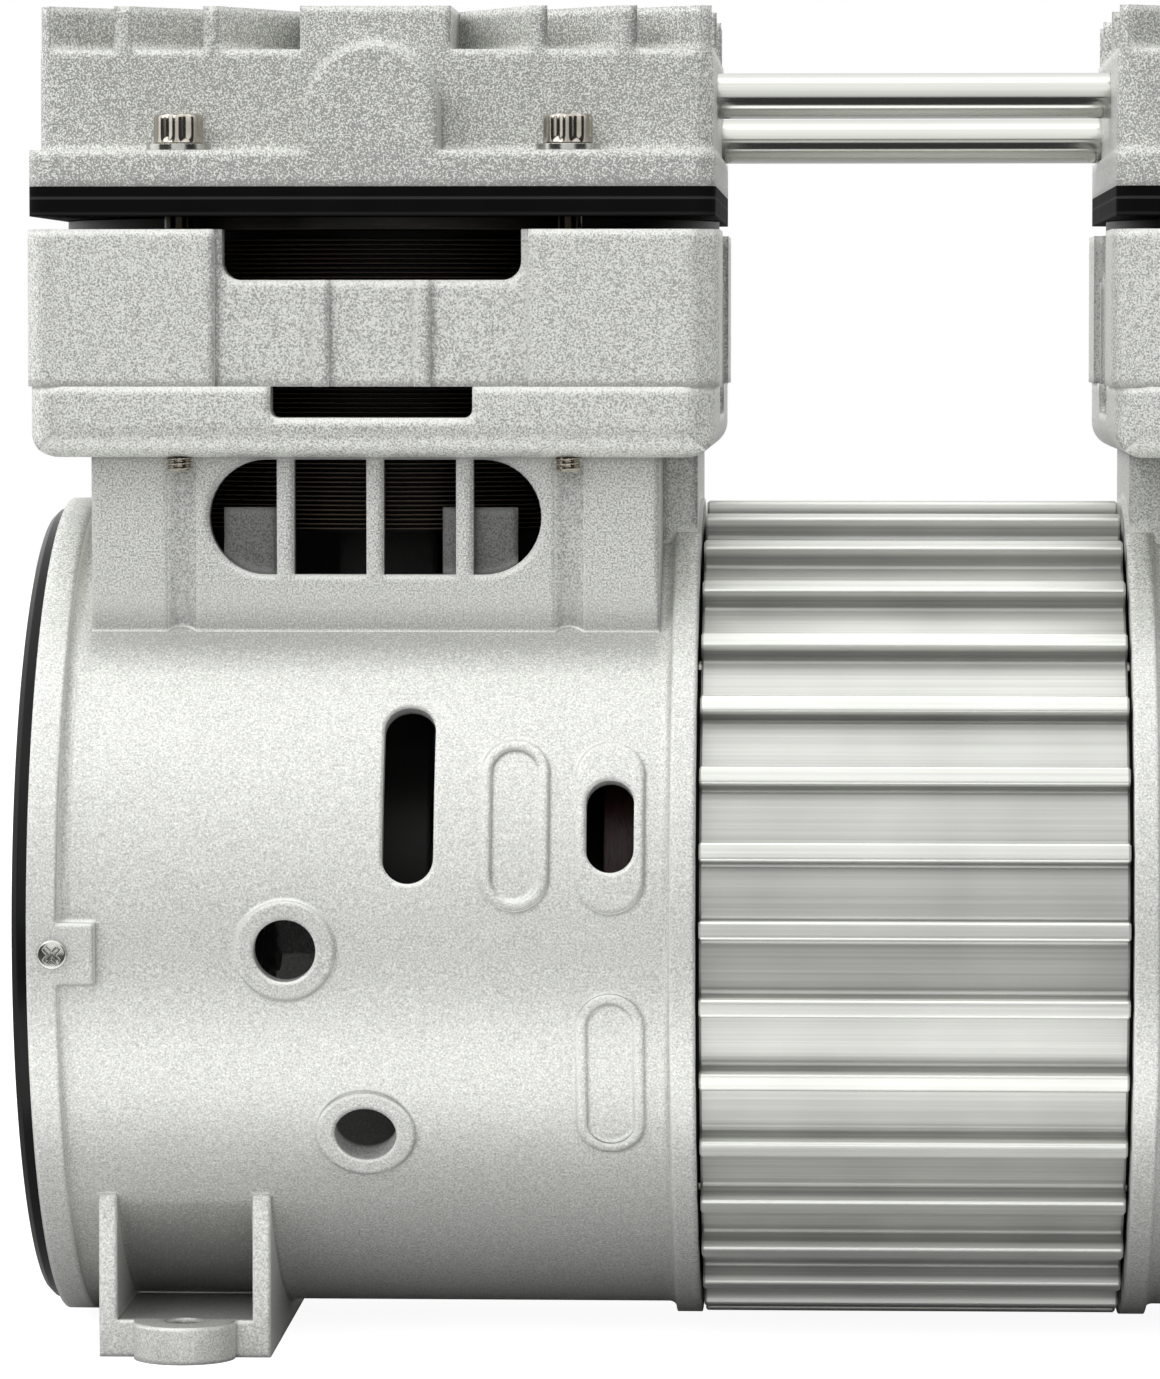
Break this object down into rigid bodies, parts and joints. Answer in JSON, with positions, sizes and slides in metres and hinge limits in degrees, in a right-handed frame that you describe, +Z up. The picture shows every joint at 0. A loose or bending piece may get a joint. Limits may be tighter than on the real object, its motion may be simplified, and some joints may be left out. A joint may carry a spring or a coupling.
{
  "type": "oil-free vacuum pump",
  "caption": "Twin-head oil-free piston vacuum pump with a finned motor between two cast crankcases, two tubes joining the ribbed heads and four bolted feet.",
  "frame": {"origin": "middle of the four feet's bottom faces, on the mounting surface", "axes": "+X along the motor shaft to the right-hand head, -Y towards the front with the vents, +Z up"},
  "size_m": [0.248, 0.1202, 0.1883],
  "materials": {
    "cast_aluminium": "shot-blasted satin casting",
    "extruded_aluminium": "fine drawn lines",
    "black_plastic": "glossy black",
    "black_plate": "gloss black",
    "gasket_rubber": "satin black",
    "hard_anodised": "dark, finely grooved",
    "polished_steel": "polished",
    "nickel_steel": "nickel plated",
    "zinc_steel": "zinc plated",
    "shaft_steel": "ground",
    "bearing_steel": "ground and polished",
    "reed_steel": "spring steel, satin",
    "laminations": "stacked sheet edges",
    "copper_winding": "enamelled wire",
    "fan_plastic": "matt black",
    "seal_rubber": "matt black",
    "ptfe": "filled PTFE"
  },
  "bodies": {
    "housing": {"motor_shell": "extruded_aluminium", "stator_core": "laminations", "stator_windings": "copper_winding", "tie_bolts": "zinc_steel", "left_crankcase": "cast_aluminium", "right_crankcase": "cast_aluminium", "left_end_cover": "black_plastic", "right_end_cover": "black_plastic", "end_cover_screws": "nickel_steel", "left_cylinder": "hard_anodised", "right_cylinder": "hard_anodised", "left_cylinder_shroud": "cast_aluminium", "right_cylinder_shroud": "cast_aluminium", "left_valve_plate": "black_plate", "right_valve_plate": "black_plate", "left_head_gasket": "gasket_rubber", "right_head_gasket": "gasket_rubber", "left_cylinder_head": "cast_aluminium", "right_cylinder_head": "cast_aluminium", "left_head_bolts": "nickel_steel", "right_head_bolts": "nickel_steel", "head_bolt_washers": "nickel_steel", "front_transfer_tube": "polished_steel", "rear_transfer_tube": "polished_steel", "transfer_tube_o_rings": "seal_rubber", "left_bearing_outer_ring": "bearing_steel", "right_bearing_outer_ring": "bearing_steel", "cylinder_o_rings": "seal_rubber", "exhaust_reed_stops": "bearing_steel", "reed_clamp_screws": "nickel_steel"},
    "rotor": {"motor_shaft": "shaft_steel", "rotor_core": "laminations", "rotor_end_rings": "cast_aluminium", "left_eccentric": "shaft_steel", "right_eccentric": "shaft_steel", "eccentric_set_screws": "zinc_steel", "left_fan": "fan_plastic", "right_fan": "fan_plastic", "fan_circlips": "bearing_steel", "left_bearing_inner_ring": "bearing_steel", "right_bearing_inner_ring": "bearing_steel", "main_bearing_balls": "bearing_steel", "left_rod_bearing_inner_ring": "bearing_steel", "right_rod_bearing_inner_ring": "bearing_steel", "rod_bearing_balls": "bearing_steel"},
    "left_rod": {"left_connecting_rod": "cast_aluminium", "left_rod_bearing_outer_ring": "bearing_steel", "left_piston_cup": "ptfe", "left_cup_retainer": "extruded_aluminium", "left_retainer_screw": "zinc_steel"},
    "left_intake_valve": {"left_intake_reed": "reed_steel"},
    "left_exhaust_valve": {"left_exhaust_reed": "reed_steel"},
    "right_rod": {"right_connecting_rod": "cast_aluminium", "right_rod_bearing_outer_ring": "bearing_steel", "right_piston_cup": "ptfe", "right_cup_retainer": "extruded_aluminium", "right_retainer_screw": "zinc_steel"},
    "right_intake_valve": {"right_intake_reed": "reed_steel"},
    "right_exhaust_valve": {"right_exhaust_reed": "reed_steel"}
  },
  "joints": [
    {"name": "shaft_spin", "type": "hinge", "parent": "housing", "child": "rotor", "pos_m": [0, 0, 0.06], "axis": [1, 0, 0], "continuous": true},
    {"name": "left_rod_pivot", "type": "hinge", "parent": "rotor", "child": "left_rod", "pos_m": [-0.075, 0, 0.064], "axis": [1, 0, 0], "continuous": true, "deforming": ["left_piston_cup"]},
    {"name": "right_rod_pivot", "type": "hinge", "parent": "rotor", "child": "right_rod", "pos_m": [0.075, 0, 0.056], "axis": [1, 0, 0], "continuous": true, "deforming": ["right_piston_cup"]},
    {"name": "left_intake_reed_flex", "type": "hinge", "parent": "housing", "child": "left_intake_valve", "pos_m": [-0.087, -0.014, 0.159], "axis": [0, 1, 0], "range_deg": [0, 4], "stiffness_Nm_per_rad": 0.01},
    {"name": "left_exhaust_reed_flex", "type": "hinge", "parent": "housing", "child": "left_exhaust_valve", "pos_m": [-0.087, 0.0205, 0.1616], "axis": [0, -1, 0], "range_deg": [0, 4], "stiffness_Nm_per_rad": 0.01},
    {"name": "right_intake_reed_flex", "type": "hinge", "parent": "housing", "child": "right_intake_valve", "pos_m": [0.087, -0.014, 0.159], "axis": [0, -1, 0], "range_deg": [0, 4], "stiffness_Nm_per_rad": 0.01},
    {"name": "right_exhaust_reed_flex", "type": "hinge", "parent": "housing", "child": "right_exhaust_valve", "pos_m": [0.087, 0.0205, 0.1616], "axis": [0, 1, 0], "range_deg": [0, 4], "stiffness_Nm_per_rad": 0.01}
  ],
  "couplings": [
    {"joint": "left_rod_pivot", "follows": "shaft_spin", "ratio": -1},
    {"joint": "right_rod_pivot", "follows": "shaft_spin", "ratio": -1}
  ]
}
